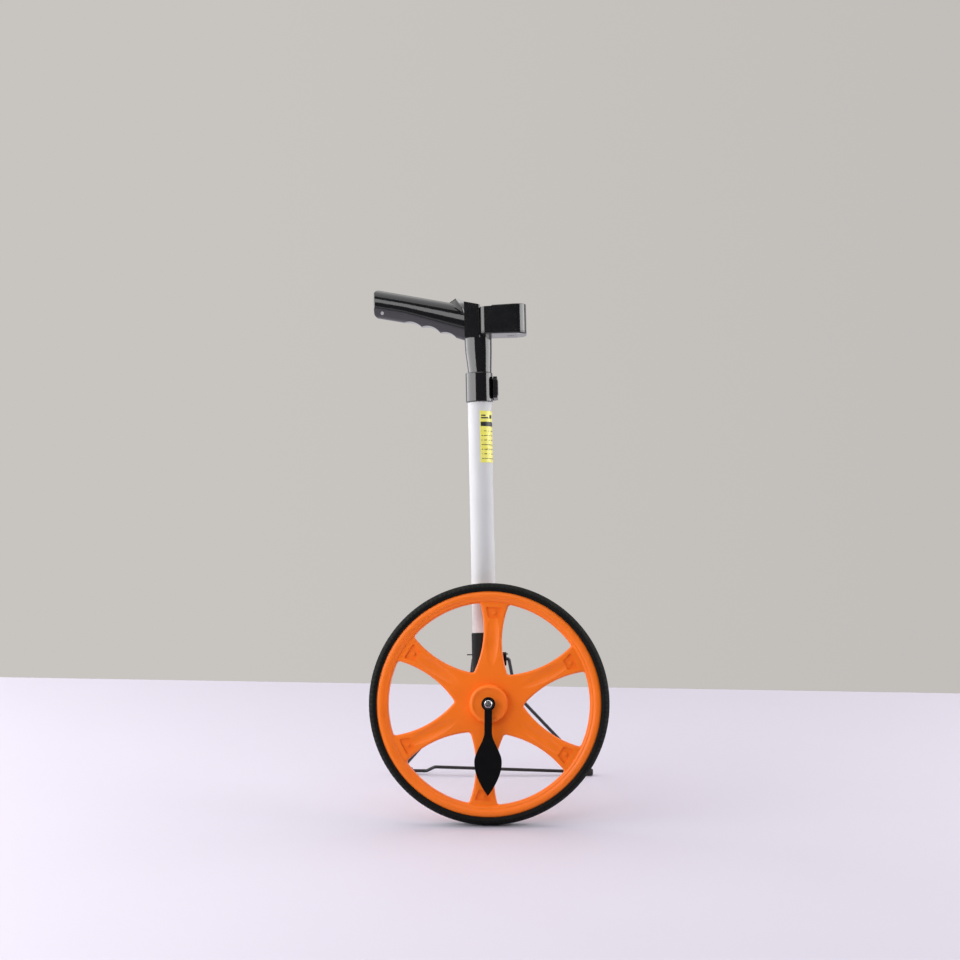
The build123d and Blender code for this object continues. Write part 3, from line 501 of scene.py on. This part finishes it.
def bar(points, faces, x0, x1, y0, y1):
    first = len(points)
    points += [(x0, y0, READING_Z), (x1, y0, READING_Z), (x1, y1, READING_Z), (x0, y1, READING_Z)]
    faces.append((first, first + 1, first + 2, first + 3))


def nought(points, faces, y):
    """A seven-segment nought read from the grip's side: up is +X, and left to right is -Y."""
    half = DIGIT_TALL / 2
    inner = DIGIT_WIDE - STROKE_WIDE
    strokes = (
        (DIGIT_TALL - STROKE_WIDE, DIGIT_TALL, 0, DIGIT_WIDE),
        (half, DIGIT_TALL, inner, DIGIT_WIDE),
        (0, half, inner, DIGIT_WIDE),
        (0, STROKE_WIDE, 0, DIGIT_WIDE),
        (0, half, 0, STROKE_WIDE),
        (half, DIGIT_TALL, 0, STROKE_WIDE),
    )
    for low, high, left, right in strokes:
        x0 = READING_LOW + low + STROKE_GAP
        x1 = READING_LOW + high - STROKE_GAP
        bar(points, faces, x0, x1, y - right + STROKE_GAP, y - left - STROKE_GAP)


def build_reading():
    """The counter at zero: six figures, a point before the last one, and a few small marks."""
    points, faces = [], []
    for k in range(FIGURES):
        nought(points, faces, READING_LEFT - k * DIGIT_PITCH)
    dot = READING_LEFT - POINT_AFTER * DIGIT_PITCH - POINT_OFFSET
    bar(points, faces, READING_LOW, POINT_HIGH, dot - POINT_HALF, dot + POINT_HALF)
    for k in range(MARKS):
        mark = MARK_LEFT - k * MARK_PITCH
        bar(points, faces, MARK_LOW, MARK_HIGH, mark - MARK_WIDE, mark)
    reading = piece_from("lcd_reading", points, faces, FACE, SEGMENT)
    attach(reading, "handle")


# ------------------------------------------------------------------ stage, light and camera

FLOOR_BACK = 0.8155
FLOOR_FRONT = 4.0
FLOOR_SIDE = 4.0
FLOOR_TURN = math.radians(-2.84)
FLOOR_COLOUR = (0.585, 0.55, 0.635)
ROOM_FRONT = (0.05, 0.05, 0.053)
ROOM_BACK = (0.52, 0.51, 0.50)
ROOM_BELOW = (0.72, 0.70, 0.75)
# Wall seen by the camera, lighter on the left and darker on the right: painted shade on the backdrop.
WALL_LEFT = (0.578, 0.552, 0.527)
WALL_RIGHT = (0.540, 0.514, 0.492)
# Each light's place, the point that it faces, its size and its radiance
LIGHTS = {
    "left_panel": ((-1.45, -0.25, 0.95), (0, -0.05, 0.6), (3.3, 1.3), 3.4),
    "right_strip": ((1.9, 0.29, 0.95), (0, 0.29, 0.6), (1.82, 1.3), 3.9),
    "overhead": ((0, 1.0, 2.5), (0, 0.8, 0.3), (3.2, 3.4), 0.95),
    "front_top": ((0, -1.7, 2.0), (0, 0, 0.5), (2.4, 0.9), 2.2),
}
CAMERA_TARGET = Vector((-0.0138, 0.100, 0.4446))
CAMERA_DISTANCE = 3.016
CAMERA_YAW = math.radians(2.42)
CAMERA_PITCH = math.radians(7.69)
CAMERA_ROLL = math.radians(-0.21)
CAMERA_LENS = 84.7
CAMERA_SENSOR = 36


def build_floor():
    corners = [
        (-FLOOR_SIDE, -FLOOR_FRONT, 0),
        (FLOOR_SIDE, -FLOOR_FRONT, 0),
        (FLOOR_SIDE, FLOOR_BACK, 0),
        (-FLOOR_SIDE, FLOOR_BACK, 0),
    ]
    look = material("floor_paint", FLOOR_COLOUR, 0.75, mottle=0.006, mottle_scale=2, grain=0.00001)
    turn = Matrix.Rotation(FLOOR_TURN, 4, "Z")
    piece_from("floor", corners, [(0, 1, 2, 3)], turn, look)


def softbox(name, place, target, size, radiance):
    light = bpy.data.lights.new(name, "AREA")
    light.shape = "RECTANGLE"
    light.size, light.size_y = size
    light.energy = radiance * math.pi * size[0] * size[1]
    lamp = bpy.data.objects.new(name, light)
    lamp.visible_camera = False
    bpy.context.scene.collection.objects.link(lamp)
    lamp.location = place
    aim = Vector(target) - Vector(place)
    lamp.rotation_euler = aim.to_track_quat("-Z", "Y").to_euler()


def build_world():
    """A pale wall behind the object, and a studio that is dark in front, pale behind and below."""
    world = bpy.data.worlds.new("studio")
    bpy.context.scene.world = world
    world.use_nodes = True
    tree = world.node_tree
    background = tree.nodes["Background"]
    coord = node_of(tree, "ShaderNodeTexCoord")
    split = node_of(tree, "ShaderNodeSeparateXYZ")
    tree.links.new(coord.outputs["Generated"], split.inputs["Vector"])
    behind = ranged(tree, split.outputs["Y"], 0.0, 1.0, -0.25, 0.45)
    room = mixed(tree, behind, ROOM_FRONT, ROOM_BACK)
    below = ranged(tree, split.outputs["Z"], 1.0, 0.0, -0.10, 0.0)
    room = mixed(tree, below, room, ROOM_BELOW)
    # The wall seen by the camera gets darker towards the right: painted shade on the backdrop.
    across = ranged(tree, split.outputs["X"], 0.0, 1.0, -0.14, 0.14)
    wall = mixed(tree, across, WALL_LEFT, WALL_RIGHT)
    path = node_of(tree, "ShaderNodeLightPath")
    seen = mixed(tree, path.outputs["Is Camera Ray"], room, wall)
    tree.links.new(seen, background.inputs["Color"])


def build_lights():
    for name, (place, target, size, radiance) in LIGHTS.items():
        softbox(name, place, target, size, radiance)


def build_camera():
    data = bpy.data.cameras.new("camera")
    data.lens = CAMERA_LENS
    data.sensor_width = CAMERA_SENSOR
    camera = bpy.data.objects.new("camera", data)
    bpy.context.scene.collection.objects.link(camera)
    ahead = Vector((
        -math.sin(CAMERA_YAW) * math.cos(CAMERA_PITCH),
        math.cos(CAMERA_YAW) * math.cos(CAMERA_PITCH),
        -math.sin(CAMERA_PITCH),
    ))
    look = ahead.to_track_quat("-Z", "Y").to_matrix().to_4x4()
    roll = Matrix.Rotation(CAMERA_ROLL, 4, "Z")
    place = Matrix.Translation(CAMERA_TARGET - ahead * CAMERA_DISTANCE)
    camera.matrix_world = place @ look @ roll
    bpy.context.scene.camera = camera


bpy.context.scene.view_settings.view_transform = "Standard"
dress_frame()
build_tyre()
build_label_print()
build_reading()
build_floor()
build_world()
build_lights()
build_camera()

bpy.context.view_layer.update()
